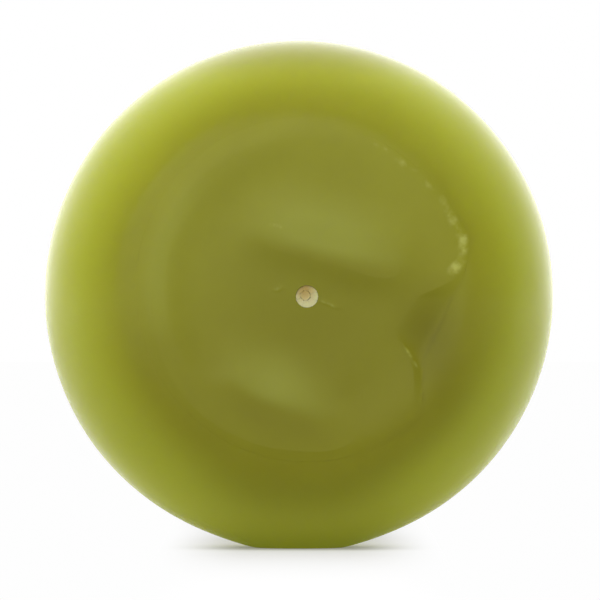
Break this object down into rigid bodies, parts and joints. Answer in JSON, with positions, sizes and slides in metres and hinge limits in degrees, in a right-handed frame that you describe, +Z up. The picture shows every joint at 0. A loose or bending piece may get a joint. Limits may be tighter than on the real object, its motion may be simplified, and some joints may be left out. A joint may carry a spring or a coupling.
{
  "type": "cast soap puck with cord core",
  "caption": "Round cast translucent green puck with a rounded rim, a ragged top-up pour on its front face and a braided cotton cord core, standing on a small flat foot.",
  "frame": {"origin": "middle of the bounding box at the level of the foot, under the puck, which stands on its rim", "axes": "+Z up; the puck's axis is along Y, with the poured front face towards -Y and the plain back face towards +Y; +X to the right seen from the front"},
  "size_m": [0.076, 0.0356, 0.0758],
  "materials": {
    "soap": "translucent olive-green cast soap or wax, soft satin gloss",
    "soap_top_up": "the same casting material, second pour, a little glossier with an undulating skin",
    "cotton": "cream braided cotton, soaked with the casting material",
    "cotton_centre": "tan twisted cotton"
  },
  "bodies": {
    "root": {"soap_body": "soap", "top_up_pour": "soap_top_up", "core_yarn_1": "cotton", "core_yarn_2": "cotton", "core_yarn_3": "cotton", "core_yarn_4": "cotton", "core_yarn_5": "cotton", "core_yarn_6": "cotton", "core_yarn_7": "cotton", "core_yarn_8": "cotton", "core_centre": "cotton_centre"}
  },
  "joints": []
}
